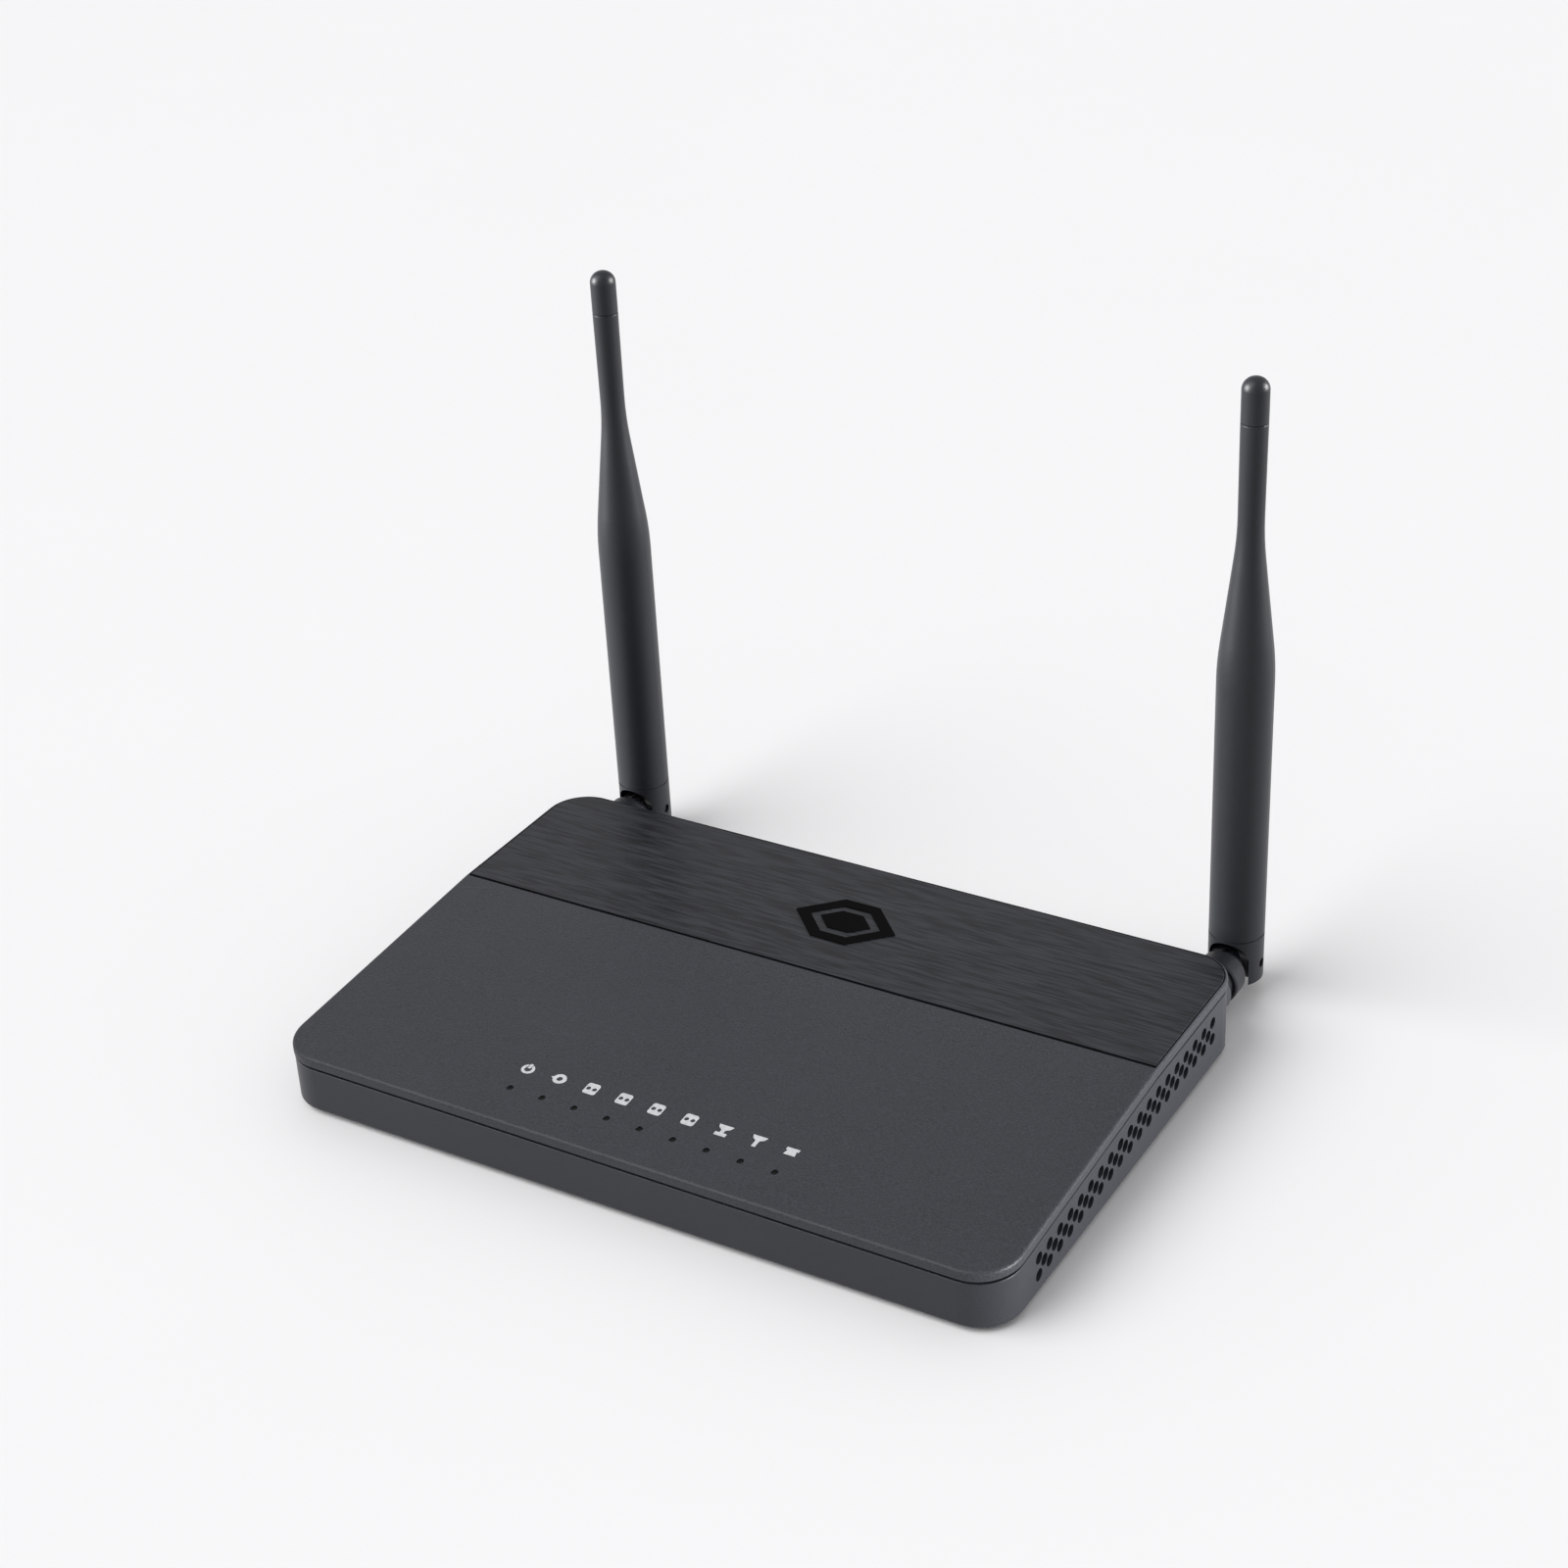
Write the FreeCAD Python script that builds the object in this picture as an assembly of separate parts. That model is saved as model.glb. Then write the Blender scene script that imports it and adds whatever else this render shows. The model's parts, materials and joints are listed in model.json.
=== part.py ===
import FreeCAD, Part
import math
import os

Vector = FreeCAD.Vector
UP = Vector(0, 0, 1)
BACK = Vector(0, 1, 0)
RIGHT = Vector(1, 0, 0)

# Optical network terminal with two folding antennas. All sizes are in millimetres.
# Shapes are drawn with the case centred on x = y = 0 and the table at z = 0.
# write_node() then moves them, so that the origin is the bottom centre of the whole object.

# Case
case_width = 200.0
case_depth = 132.4
corner_radius = 11.0
foot_height = 1.2
front_height = 17.0
fold_height = 22.1
rear_height = 22.0
fold_y = 15.4
well_above = 40.0

# Lid: a rim around the outside, and a tongue that locates it inside the lower case
lid_rim = 2.45
lid_edge_radius = 0.9
lid_roof = 2.0
lid_gap = 1.0
tongue_inset = 2.6
tongue_thickness = 1.0
tongue_reach = 5.4
tongue_rear_y = 58.0
post_radius = 3.0
post_clearance = 3.2

# Lower case
wall_inset = 0.2
wall_edge_radius = 0.3
base_edge_radius = 1.0
cavity_inset = 2.5
floor_thickness = 2.0
floor_top = foot_height + floor_thickness
floor_vent_columns = 8
floor_vent_pitch = 3.6
floor_vent_width = 1.8
floor_vent_length = 28.0
floor_vent_centre = (17.5, -12.0)

# Brushed rear panel and the mark on it
panel_thickness = 1.0
panel_border = 0.6
panel_gap = 0.35
panel_edge = 0.15
seam_width = 1.0
seam_lip = 0.12
seam_undercut = 0.9
badge_centre = (2.5, 39.2)
badge_size = (29.0, 19.0)
badge_opening = (20.5, 13.0)
badge_core = (14.5, 8.5)
badge_thickness = 0.25

# Front indicators
indicator_count = 9
indicator_pitch = 9.2
indicator_row_x = -0.3
indicator_y = -54.6
icon_y = -46.9
icon_size = 4.1
icon_stroke = 0.75
icon_corner_radius = 0.7
icon_hole_radius = 0.6
icon_hole_spacing = 1.7
ink_thickness = 0.06
guide_radius = 0.88
guide_clearance = 0.05
guide_sink = 0.25
guide_rail_width = 2.8
guide_rail_height = 1.4

# Side vents: three staggered rows of round holes that follow the edge of the lid
vent_radius = 1.55
vent_pitch = 5.34
vent_columns = 19
vent_first_y = -47.4
vent_row_drops = (7.4, 9.75, 12.1)

# Circuit board
board_bottom = 4.2
board_thickness = 1.6
board_top = board_bottom + board_thickness
board_half_width = 79.0
board_front_y = -48.0
board_rear_y = 61.0
lamp_strip_half_width = 46.0
lamp_strip_depth = 4.0

# Rear sockets and buttons, by their place across the back
back_face_y = case_depth / 2 - wall_inset
port_z = board_top + 5.9
socket_clearance = 0.25
lan_count = 4
lan_pitch = 16.0
lan_first_x = 20.5
lan_x = [lan_first_x - lan_pitch * number for number in range(lan_count)]
phone_x = 38.5
optical_x = -50.0
reset_x = -61.0
wps_x = -71.0
power_button_x = 54.5
power_inlet_x = 69.0

# Modular sockets
jack_height = 11.6
jack_wall = 0.95
jack_hole_depth = 13.5
lan_width = 15.8
lan_hole = (11.9, 8.2)
lan_latch_width = 6.4
phone_width = 13.2
phone_hole = (9.9, 7.4)
phone_latch_width = 5.2
latch_depth = 1.5
jack_depth = 18.0
contact_pitch = 1.02
contact_width = 0.45
contact_height = 0.4
contact_drop = 3.4

# Optical port
optical_width = 12.8
optical_height = 10.4
optical_depth = 22.0
optical_hole = (9.3, 7.6)
optical_hole_depth = 12.0
ferrule_radius = 1.26
sleeve_radius = 2.3
cap_shank = (8.8, 7.1)
cap_shank_length = 9.9
cap_flange = (11.2, 9.4)
cap_flange_thickness = 1.5
cap_grip = (7.2, 3.0)
cap_grip_length = 7.1
cap_stand_off = 0.4

# Power inlet
inlet_nose_radius = 4.6
inlet_bore_radius = 3.1
inlet_bore_depth = 10.0
inlet_pin_radius = 1.05
inlet_pin_length = 9.2

# Switches and buttons
switch_face_y = 58.6
switch_depth = 10.0
switch_bore_depth = 8.0
stem_reach = 4.0
flange_face_y = 63.3
flange_thickness = 1.3
power_cap_radius = 3.9
wps_cap_radius = 2.8
reset_hole_radius = 1.25
running_clearance = 0.05

# Antennas
antenna_x = 90.0
antenna_y = 86.8
hinge_z = 9.2
boss_radius = 6.2
boss_end_y = 69.6
pad_radius = 8.4
pad_front_y = 60.0
shaft_radius = 4.2
shaft_front_y = 57.6
retainer_radius = 5.5
barrel_start_y = boss_end_y + 0.3
waist_radius = 4.9
waist_end_y = 72.9
barrel_end_y = 79.3
barrel_radius = 6.2
neck_radius = 3.8
knuckle_radius = 4.6
knuckle_length = 10.2
lead_bore_radius = 1.7
lead_bore_length = 24.0
lead_radius = 0.7
foot_radius = 7.1
foot_reach = 4.7
foot_top_z = 17.4
slot_width = 10.8
slot_arch_lift = 2.2
slot_radius = 4.9
hinge_pin_radius = 1.25
hinge_pin_length = 12.6
seam_size = 0.25
spigot_radius = 5.35
spigot_top_z = 23.5
radome_bore_radius = 5.4
taper_start_z = 94.0
taper_end_z = 127.0
taper_blend_radius = 88.0
radome_neck_radius = 3.2
tip_radius = 3.35
tip_joint_z = 156.2
tip_top_z = 167.4
tip_bore_radius = 1.75
lead_in_radius = 0.9
radiator_stages = ((34.0, 66.0, 3.6, 0.9), (72.0, 104.0, 1.5, 0.6))

# Fasteners and feet
case_screw_places = ((-88.0, -54.0), (88.0, -54.0), (-86.0, 44.0), (86.0, 44.0))
case_screw_seat = foot_height + 2.4
case_screw_radius = 1.2
board_screw_places = ((-74.0, -43.0), (74.0, -43.0), (-74.0, 36.0), (74.0, 36.0))
board_screw_radius = 1.1
board_screw_start = foot_height + 1.2
foot_places = ((-76.0, -52.0), (76.0, -52.0), (-76.0, 50.0), (76.0, 50.0))
foot_disc_radius = 6.0
foot_recess = 0.6
keyhole_spacing = 110.0
keyhole_radius = 3.9
keyhole_slot_width = 4.2
keyhole_slot_length = 7.0

origin_y = (antenna_y + foot_radius - case_depth / 2) / 2
hair = 0.01


# ---------------------------------------------------------------- helpers

def write_node(name, *solids):
    """Writes one named sub-part, which may be a group of separate solids."""
    shape = solids[0] if len(solids) == 1 else Part.makeCompound(list(solids))
    shape = shape.copy()
    shape.translate(Vector(0, -origin_y, 0))
    for solid in shape.Solids:
        assert solid.isValid() and solid.Volume > 0, name
    shape.exportStep(os.path.join("parts", name + ".step"))


def box(x0, x1, y0, y1, z0, z1):
    return Part.makeBox(x1 - x0, y1 - y0, z1 - z0, Vector(x0, y0, z0))


def slab(x, width, y0, y1, z0, z1):
    """A box centred on x."""
    return box(x - width / 2, x + width / 2, y0, y1, z0, z1)


def block(x, y, z, width, depth, height):
    """A box centred on x and y that stands on z."""
    return slab(x, width, y - depth / 2, y + depth / 2, z, z + height)


def pad(x, z, size, y0, y1):
    """A box centred on x and z, with size its width and height, from y0 back to y1."""
    width, height = size
    return slab(x, width, y0, y1, z - height / 2, z + height / 2)


def rod(start, direction, radius, length):
    return Part.makeCylinder(radius, length, Vector(*start), direction)


def tube(start, direction, radius, bore, length):
    return rod(start, direction, radius, length).cut(rod(start, direction, bore, length))


def edges_where(shape, test):
    return [edge for edge in shape.Edges if test(edge)]


def is_along(edge, direction):
    if len(edge.Vertexes) < 2 or not isinstance(edge.Curve, Part.Line):
        return False
    span = edge.Vertexes[1].Point - edge.Vertexes[0].Point
    return abs(span.normalize().dot(direction)) > 0.999


def round_back(shape, radius):
    """Rounds the edges that lie at the shape's rearmost end."""
    rear = shape.BoundBox.YMax - hair
    return shape.makeFillet(radius, edges_where(shape, lambda e: e.BoundBox.YMin > rear))


def round_sides(shape, radius, direction):
    """Rounds the straight edges that run along one direction."""
    return shape.makeFillet(radius, edges_where(shape, lambda e: is_along(e, direction)))


def one_solid(shape):
    """The single solid of a boolean's result, with its flat faces joined up."""
    clean = shape.removeSplitter()
    assert len(clean.Solids) == 1, len(clean.Solids)
    return clean.Solids[0]


def cut_all(shape, cutters):
    return shape.cut(Part.makeCompound(cutters))


def rounded_path(points, radii):
    """Edges through the points, with a tangent arc of the given radius at each inner point."""
    edges = []
    start = points[0]
    for corner, after, radius in zip(points[1:-1], points[2:], radii):
        inward = (start - corner).normalize()
        outward = (after - corner).normalize()
        half_turn = (math.pi - inward.getAngle(outward)) / 2
        reach = radius * math.tan(half_turn)
        first = corner + inward * reach
        last = corner + outward * reach
        bisector = (inward + outward).normalize()
        middle = corner + bisector * (radius / math.cos(half_turn) - radius)
        edges.append(Part.LineSegment(start, first).toShape())
        edges.append(Part.Arc(first, middle, last).toShape())
        start = last
    edges.append(Part.LineSegment(start, points[-1]).toShape())
    return edges


def revolve_edges(edges, origin, axis):
    """A solid of revolution from an outline that starts and ends on the axis."""
    first = edges[0].Vertexes[0].Point
    last = edges[-1].Vertexes[-1].Point
    wire = Part.Wire(edges + [Part.LineSegment(last, first).toShape()])
    return Part.Face(wire).revolve(origin, axis, 360)


def turned(steps, origin, axis, outward):
    """A turned solid. Each step is a distance along the axis and the radius there."""
    points = [origin + axis * steps[0][0]]
    points += [origin + axis * along + outward * radius for along, radius in steps]
    points.append(origin + axis * steps[-1][0])
    return Part.Face(Part.makePolygon(points + [points[0]])).revolve(origin, axis, 360)


def extruded_across(corners, x, width):
    """A solid of the given width centred on x, from the y, z corners of its side view."""
    points = [Vector(x - width / 2, y, z) for y, z in corners]
    return Part.Face(Part.makePolygon(points + [points[0]])).extrude(Vector(width, 0, 0))


# ---------------------------------------------------------------- case

front_slope = (fold_height - front_height) / (fold_y + case_depth / 2)
rear_slope = (rear_height - fold_height) / (case_depth / 2 - fold_y)


def slope_at(y):
    return front_slope if y < fold_y else rear_slope


def roof_z(y, drop=0.0):
    """Height of the folded roof at y, or of a surface parallel to it that lies lower by drop."""
    return fold_height + slope_at(y) * (y - fold_y) - drop


def under_roof(drop):
    """Everything below the folded surface that lies lower than the roof by drop."""
    reach = case_depth
    corners = [(-reach, -reach), (-reach, roof_z(-reach, drop)), (fold_y, roof_z(fold_y, drop)),
               (reach, roof_z(reach, drop)), (reach, -reach)]
    return extruded_across(corners, 0, 2 * case_width)


def outline(inset, z):
    """The rounded rectangle of the case, drawn in by inset, as a wire at height z."""
    radius = corner_radius - inset
    centre_x = case_width / 2 - corner_radius
    centre_y = case_depth / 2 - corner_radius
    arcs = []
    for side, end, angle in ((1, -1, 270), (1, 1, 0), (-1, 1, 90), (-1, -1, 180)):
        centre = Vector(side * centre_x, end * centre_y, z)
        arcs.append(Part.makeCircle(radius, centre, UP, angle, angle + 90))
    edges = []
    for arc, following in zip(arcs, arcs[1:] + arcs[:1]):
        edges.append(arc)
        edges.append(Part.LineSegment(arc.Vertexes[-1].Point, following.Vertexes[0].Point).toShape())
    return Part.Wire(edges)


def case_block(inset, drop, bottom=-well_above):
    """The case outline as a solid from bottom up to the folded surface at drop."""
    prism = Part.Face(outline(inset, bottom)).extrude(Vector(0, 0, 2 * well_above))
    return prism.common(under_roof(drop)).removeSplitter()


def round_top(shape, radius):
    """Rounds the outer top edge all the way round, but not the fold across the roof."""
    def is_top_edge(edge):
        across_fold = is_along(edge, RIGHT) and abs(edge.CenterOfMass.y - fold_y) < hair
        return edge.CenterOfMass.z > front_height / 2 and not is_along(edge, UP) and not across_fold
    return shape.makeFillet(radius, edges_where(shape, is_top_edge))


def behind(y):
    return box(-case_width, case_width, y, case_depth, 0, well_above)


def make_top_cover():
    rim = round_top(case_block(0, 0), lid_edge_radius).cut(under_roof(lid_rim))
    tongue = case_block(tongue_inset, lid_roof).cut(under_roof(tongue_reach))
    tongue = tongue.cut(behind(tongue_rear_y).common(under_roof(lid_rim)))
    cover = rim.fuse(tongue).cut(case_block(tongue_inset + tongue_thickness, lid_roof))
    pocket = case_block(panel_border, -lid_rim).cut(under_roof(panel_thickness))
    cover = cover.cut(pocket.common(behind(fold_y)))
    post_bottom = floor_top + post_clearance
    for x, y in case_screw_places:
        post = rod((x, y, post_bottom), UP, post_radius, well_above)
        cover = cover.fuse(post.common(under_roof(1.5 * panel_thickness)))
    holes = [rod((x, y, 0), UP, case_screw_radius, floor_top + 8.0) for x, y in case_screw_places]
    for x in indicator_places():
        holes.append(rod((x, indicator_y, 0), UP, guide_radius + guide_clearance, well_above))
    write_node("top_cover", one_solid(cut_all(cover, holes)))


def make_brushed_panel():
    """A plate let into the lid. Its front edge is cut back underneath, so that the seam is a dark line."""
    front_y = fold_y + seam_width
    panel = case_block(panel_border + panel_gap, 0).cut(under_roof(panel_thickness))
    panel = one_solid(panel.common(behind(front_y)))

    def is_border(edge):
        middle = edge.CenterOfMass
        return abs(middle.z - roof_z(middle.y)) < hair and middle.y > front_y + hair
    panel = panel.makeChamfer(panel_edge, edges_where(panel, is_border))
    before_y, lip_z = front_y - seam_width, roof_z(front_y, seam_lip)
    back_y, low_z = front_y + seam_undercut, roof_z(front_y, 1.2 * panel_thickness)
    undercut = [(before_y, lip_z), (front_y, lip_z), (back_y, low_z), (before_y, low_z)]
    write_node("brushed_top_panel", one_solid(panel.cut(extruded_across(undercut, 0, case_width))))


def outer_walls():
    """The lower case's outside as a solid block, with its top and bottom edges rounded."""
    walls = round_top(case_block(wall_inset, lid_rim + lid_gap, foot_height), wall_edge_radius)
    base_edges = edges_where(walls, lambda e: e.BoundBox.ZMax < foot_height + hair)
    return walls.makeFillet(base_edge_radius, base_edges)


def side_vents():
    """Cutters for the side vents. The middle row is shifted by half a pitch."""
    holes = []
    for row, drop in enumerate(vent_row_drops):
        shifted = row % 2
        for column in range(vent_columns - shifted):
            y = vent_first_y + vent_pitch * (column + shifted / 2)
            for side in (-1, 1):
                start = (side * (case_width / 2 + 1), y, roof_z(y, drop))
                holes.append(rod(start, RIGHT * -side, vent_radius, 2 * cavity_inset))
    return holes


def keyhole(x):
    """A wall-hanging hole: a round entry for the screw's head and a narrow slot behind it."""
    top = floor_top + 1
    entry = rod((x, 0, 0), UP, keyhole_radius, top)
    slot = slab(x, keyhole_slot_width, 0, keyhole_slot_length, 0, top)
    end = rod((x, keyhole_slot_length, 0), UP, keyhole_slot_width / 2, top)
    return entry.fuse(slot).fuse(end)


def floor_cutters():
    cutters = [keyhole(-keyhole_spacing / 2), keyhole(keyhole_spacing / 2)]
    for x, y in case_screw_places:
        cutters.append(rod((x, y, 0), UP, post_radius, case_screw_seat))
        cutters.append(rod((x, y, 0), UP, case_screw_radius + 0.3, floor_top + 4))
    for x, y in board_screw_places:
        cutters.append(rod((x, y, board_screw_start - 0.2), UP, board_screw_radius, board_top))
    for x, y in foot_places:
        cutters.append(rod((x, y, 0), UP, foot_disc_radius, foot_height + foot_recess))
    group_x, centre_y = floor_vent_centre
    for side in (-1, 1):
        for column in range(floor_vent_columns):
            x = side * group_x + (column - (floor_vent_columns - 1) / 2) * floor_vent_pitch
            cutters.append(block(x, centre_y, 0, floor_vent_width, floor_vent_length, floor_top + 1))
    return cutters


def rear_cutters():
    """The openings in the back wall for the sockets and buttons."""
    front, back = case_depth / 2 - 4.5, case_depth / 2 + 4
    gap = socket_clearance
    jack_bottom, jack_top = board_top - gap, board_top + jack_height + gap
    lan_left, lan_right = lan_x[-1] - lan_width / 2 - gap, lan_x[0] + lan_width / 2 + gap
    cutters = [box(lan_left, lan_right, front, back, jack_bottom, jack_top)]
    cutters.append(slab(phone_x, phone_width + 2 * gap, front, back, jack_bottom, jack_top))
    optical_top = port_z + optical_height / 2 + gap
    cutters.append(slab(optical_x, optical_width + 2 * gap, front, back, jack_bottom, optical_top))
    round_holes = ((power_inlet_x, inlet_nose_radius + gap), (power_button_x, power_cap_radius + gap),
                   (wps_x, wps_cap_radius + gap), (reset_x, reset_hole_radius))
    for x, radius in round_holes:
        cutters.append(rod((x, front, port_z), BACK, radius, back - front))
    return cutters


def antenna_boss(side):
    """The short boss behind the case that an antenna turns in, with its pad inside the back wall."""
    x = side * antenna_x
    root_y = case_depth / 2 - 4
    boss = round_back(rod((x, root_y, hinge_z), BACK, boss_radius, boss_end_y - root_y), 0.5)
    inside = rod((x, pad_front_y, hinge_z), BACK, pad_radius, 5.0)
    limit = case_block(wall_inset + 0.4, lid_rim + lid_gap + 0.1, foot_height + 0.7)
    return boss.fuse(inside.common(limit))


def make_bottom_housing():
    housing = outer_walls().cut(case_block(cavity_inset, 0, floor_top))
    root = floor_top - 0.5
    for x, y in case_screw_places:
        housing = housing.fuse(rod((x, y, root), UP, post_radius + 1.2, post_clearance))
    for x, y in board_screw_places:
        housing = housing.fuse(rod((x, y, root), UP, 2.6, board_bottom - root))
    for side in (-1, 1):
        housing = housing.fuse(antenna_boss(side))
    cutters = side_vents() + floor_cutters() + rear_cutters()
    for side in (-1, 1):
        start = (side * antenna_x, pad_front_y - 5, hinge_z)
        cutters.append(rod(start, BACK, shaft_radius + running_clearance, 30))
    for cutter in cutters:
        housing = housing.cut(cutter)
    write_node("bottom_housing", one_solid(housing))


# ---------------------------------------------------------------- marks and indicators

def indicator_places():
    first = indicator_row_x - indicator_pitch * (indicator_count - 1) / 2
    return [first + indicator_pitch * index for index in range(indicator_count)]


def lay_on_roof(shape, x, y):
    """Moves a flat shape drawn about the origin onto the roof at x, y, in line with its slope."""
    shape.rotate(Vector(), RIGHT, math.degrees(math.atan(slope_at(y))))
    shape.translate(Vector(x, y, roof_z(y)))
    return shape


def flat_polygon(points, thickness=ink_thickness):
    corners = [Vector(x, y, 0) for x, y in points]
    return Part.Face(Part.makePolygon(corners + [corners[0]])).extrude(Vector(0, 0, thickness))


def flat_box(x0, x1, y0, y1):
    return box(x0, x1, y0, y1, 0, ink_thickness)


def flat_bar(y0, y1, width=icon_stroke):
    """A bar centred on x = 0."""
    return flat_box(-width / 2, width / 2, y0, y1)


def flat_ring(radius):
    return tube((0, 0, 0), UP, radius, radius - icon_stroke, ink_thickness)


def flat_hole(x, radius):
    return rod((x, 0, -1), UP, radius, 2)


def power_icon():
    """A ring that is open at the top, with a separate short bar in the opening."""
    radius = icon_size * 0.42
    ring = flat_ring(radius).cut(flat_bar(0.3, radius + 1, icon_stroke + 0.5))
    return [one_solid(ring), flat_bar(0.3, radius + 0.2)]


def link_icon():
    """A thick ring with a point at its left, for the line that comes in."""
    radius = icon_size * 0.43
    disc = rod((0, 0, 0), UP, radius, ink_thickness)
    point = flat_polygon([(-icon_size * 0.58, 0), (0, -radius * 0.8), (0, radius * 0.8)])
    return [one_solid(disc.fuse(point).cut(flat_hole(0, 1.3 * icon_hole_radius)))]


def screen_icon():
    """A rounded screen with two dark windows, for a wired computer."""
    screen = block(0, 0, 0, icon_size * 0.84, icon_size * 0.96, ink_thickness)
    screen = round_sides(screen, icon_corner_radius, UP)
    for side in (-1, 1):
        screen = screen.cut(flat_hole(side * icon_hole_spacing / 2, icon_hole_radius))
    return [one_solid(screen)]


def aerial_icon(with_base):
    """A funnel on a mast, for a radio band. The second band's has a foot as well."""
    half = icon_size / 2
    mast = icon_stroke / 2
    brim, throat = (half * 0.75, half * 0.4), (mast, 0)
    right_side = [(half * 0.95, half * 0.9), brim, throat]
    left_side = [(-x, y) for x, y in right_side[::-1]]
    icon = flat_polygon(right_side + left_side).fuse(flat_bar(-half, 0.2, 1.3 * icon_stroke))
    if with_base:
        icon = icon.fuse(flat_bar(-half, -half + 1.5 * icon_stroke, icon_size * 0.75))
    return [one_solid(icon)]


def phone_icon():
    """A squat desk telephone: a body under a wider handset bar."""
    width = icon_size * 0.82
    half = width / 2
    low, high = half * 0.9, half * 0.6
    body = flat_polygon([(-low, -half * 0.75), (low, -half * 0.75), (high, high), (-high, high)])
    handset = flat_bar(half * 0.2, half * 0.75, width)
    return [one_solid(body.fuse(handset))]


def make_indicator_icons():
    icons = [power_icon(), link_icon()]
    icons += [screen_icon() for _ in lan_x]
    icons += [aerial_icon(True), aerial_icon(False), phone_icon()]
    solids = []
    for x, icon in zip(indicator_places(), icons):
        solids += [lay_on_roof(solid, x, icon_y) for solid in icon]
    write_node("indicator_icons", *solids)


def hexagon(size):
    """A hexagon stretched along x, with its points at both ends."""
    tip, side = size[0] / 2, size[1] / 2
    shoulder = tip - side
    return flat_polygon([(tip, 0), (shoulder, side), (-shoulder, side), (-tip, 0),
                         (-shoulder, -side), (shoulder, -side)], badge_thickness)


def make_badge():
    """A plain mark: a stretched hexagon ring with a solid hexagon in it."""
    ring = hexagon(badge_size).cut(hexagon(badge_opening))
    core = hexagon(badge_core)
    write_node("badge", lay_on_roof(ring, *badge_centre), lay_on_roof(core, *badge_centre))


def make_light_guides():
    """Nine clear rods on one rail, from the lamps on the board up to the lid."""
    bottom = board_top + 1.6
    rail_top = board_top + 4.2
    tip_z = roof_z(indicator_y, guide_sink)
    places = indicator_places()
    centre_x = (places[0] + places[-1]) / 2
    length = places[-1] - places[0] + 4
    rail_z = rail_top - guide_rail_height
    guides = block(centre_x, indicator_y, rail_z, length, guide_rail_width, guide_rail_height)
    for x in places:
        guides = guides.fuse(rod((x, indicator_y, bottom), UP, guide_radius, tip_z - bottom))
    write_node("light_guides", one_solid(guides))
    write_node("indicator_leds", *[block(x, indicator_y, board_top, 1.6, 1.2, 0.9) for x in places])


# ---------------------------------------------------------------- board and what stands on it

def make_circuit_board():
    board = slab(0, 2 * board_half_width, board_front_y, board_rear_y, board_bottom, board_top)
    strip_y = indicator_y - lamp_strip_depth
    strip = slab(0, 2 * lamp_strip_half_width, strip_y, board_front_y, board_bottom, board_top)
    holes = [rod((x, y, 0), UP, board_screw_radius + 0.2, well_above) for x, y in board_screw_places]
    write_node("circuit_board", one_solid(cut_all(board.fuse(strip), holes)))


def screw(x, y, head_z, head_height, head_radius, shank_z, shank_length, shank_radius):
    """A cross-head screw. The recess is cut into whichever end of the head faces away."""
    faces_up = shank_z < head_z
    recess_depth = head_height * 0.6
    recess_z = head_z + head_height - recess_depth if faces_up else head_z
    head = rod((x, y, head_z), UP, head_radius, head_height)
    for width, depth in ((1.1, 0.25), (0.25, 1.1)):
        size = head_radius
        head = head.cut(block(x, y, recess_z, width * size, depth * size, recess_depth))
    return one_solid(head.fuse(rod((x, y, shank_z), UP, shank_radius, shank_length)))


def make_screws():
    shank = board_top - board_screw_start
    board_screws = [screw(x, y, board_top, 1.3, 2.2, board_screw_start, shank, board_screw_radius)
                    for x, y in board_screw_places]
    write_node("board_screws", *board_screws)
    case_screws = [screw(x, y, case_screw_seat - 1.7, 1.7, 2.6, case_screw_seat, 7.0, case_screw_radius)
                   for x, y in case_screw_places]
    write_node("case_screws", *case_screws)


def make_rubber_feet():
    feet = []
    for x, y in foot_places:
        disc = rod((x, y, 0), UP, foot_disc_radius - 0.05, foot_height + foot_recess)
        feet.append(disc.makeFillet(0.4, edges_where(disc, lambda e: e.BoundBox.ZMax < hair)))
    write_node("rubber_feet", *feet)


def make_shield_can(name, x, y, width, depth, height):
    """A pressed lid over one part of the board: thin walls and rows of small round holes."""
    sheet = 0.4
    hole_pitch = 4.0
    can = round_sides(block(x, y, board_top, width, depth, height), 0.6, UP)
    can = can.cut(block(x, y, board_top, width - 2 * sheet, depth - 2 * sheet, height - sheet))
    columns = int(width / hole_pitch) - 1
    rows = int(depth / hole_pitch) - 1
    holes = []
    for column in range(columns):
        for row in range(rows):
            hole_x = x + (column - (columns - 1) / 2) * hole_pitch
            hole_y = y + (row - (rows - 1) / 2) * hole_pitch
            holes.append(rod((hole_x, hole_y, board_top + height - 1), UP, 0.6, 2))
    write_node(name, one_solid(cut_all(can, holes)))


def make_chip_and_heat_sink():
    x, y = -8.0, 2.0
    chip_side, chip_height = 19.0, 1.6
    sink_side, base_thickness = 30.0, 1.6
    fin_count, fin_width, fin_height = 8, 1.2, 5.0
    write_node("main_chip", block(x, y, board_top, chip_side, chip_side, chip_height))
    base_z = board_top + chip_height
    sink = block(x, y, base_z, sink_side, sink_side, base_thickness)
    fin_pitch = (sink_side - fin_width) / (fin_count - 1)
    for index in range(fin_count):
        fin_x = x + (index - (fin_count - 1) / 2) * fin_pitch
        sink = sink.fuse(block(fin_x, y, base_z + base_thickness, fin_width, sink_side, fin_height))
    write_node("heat_sink", one_solid(sink))


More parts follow.
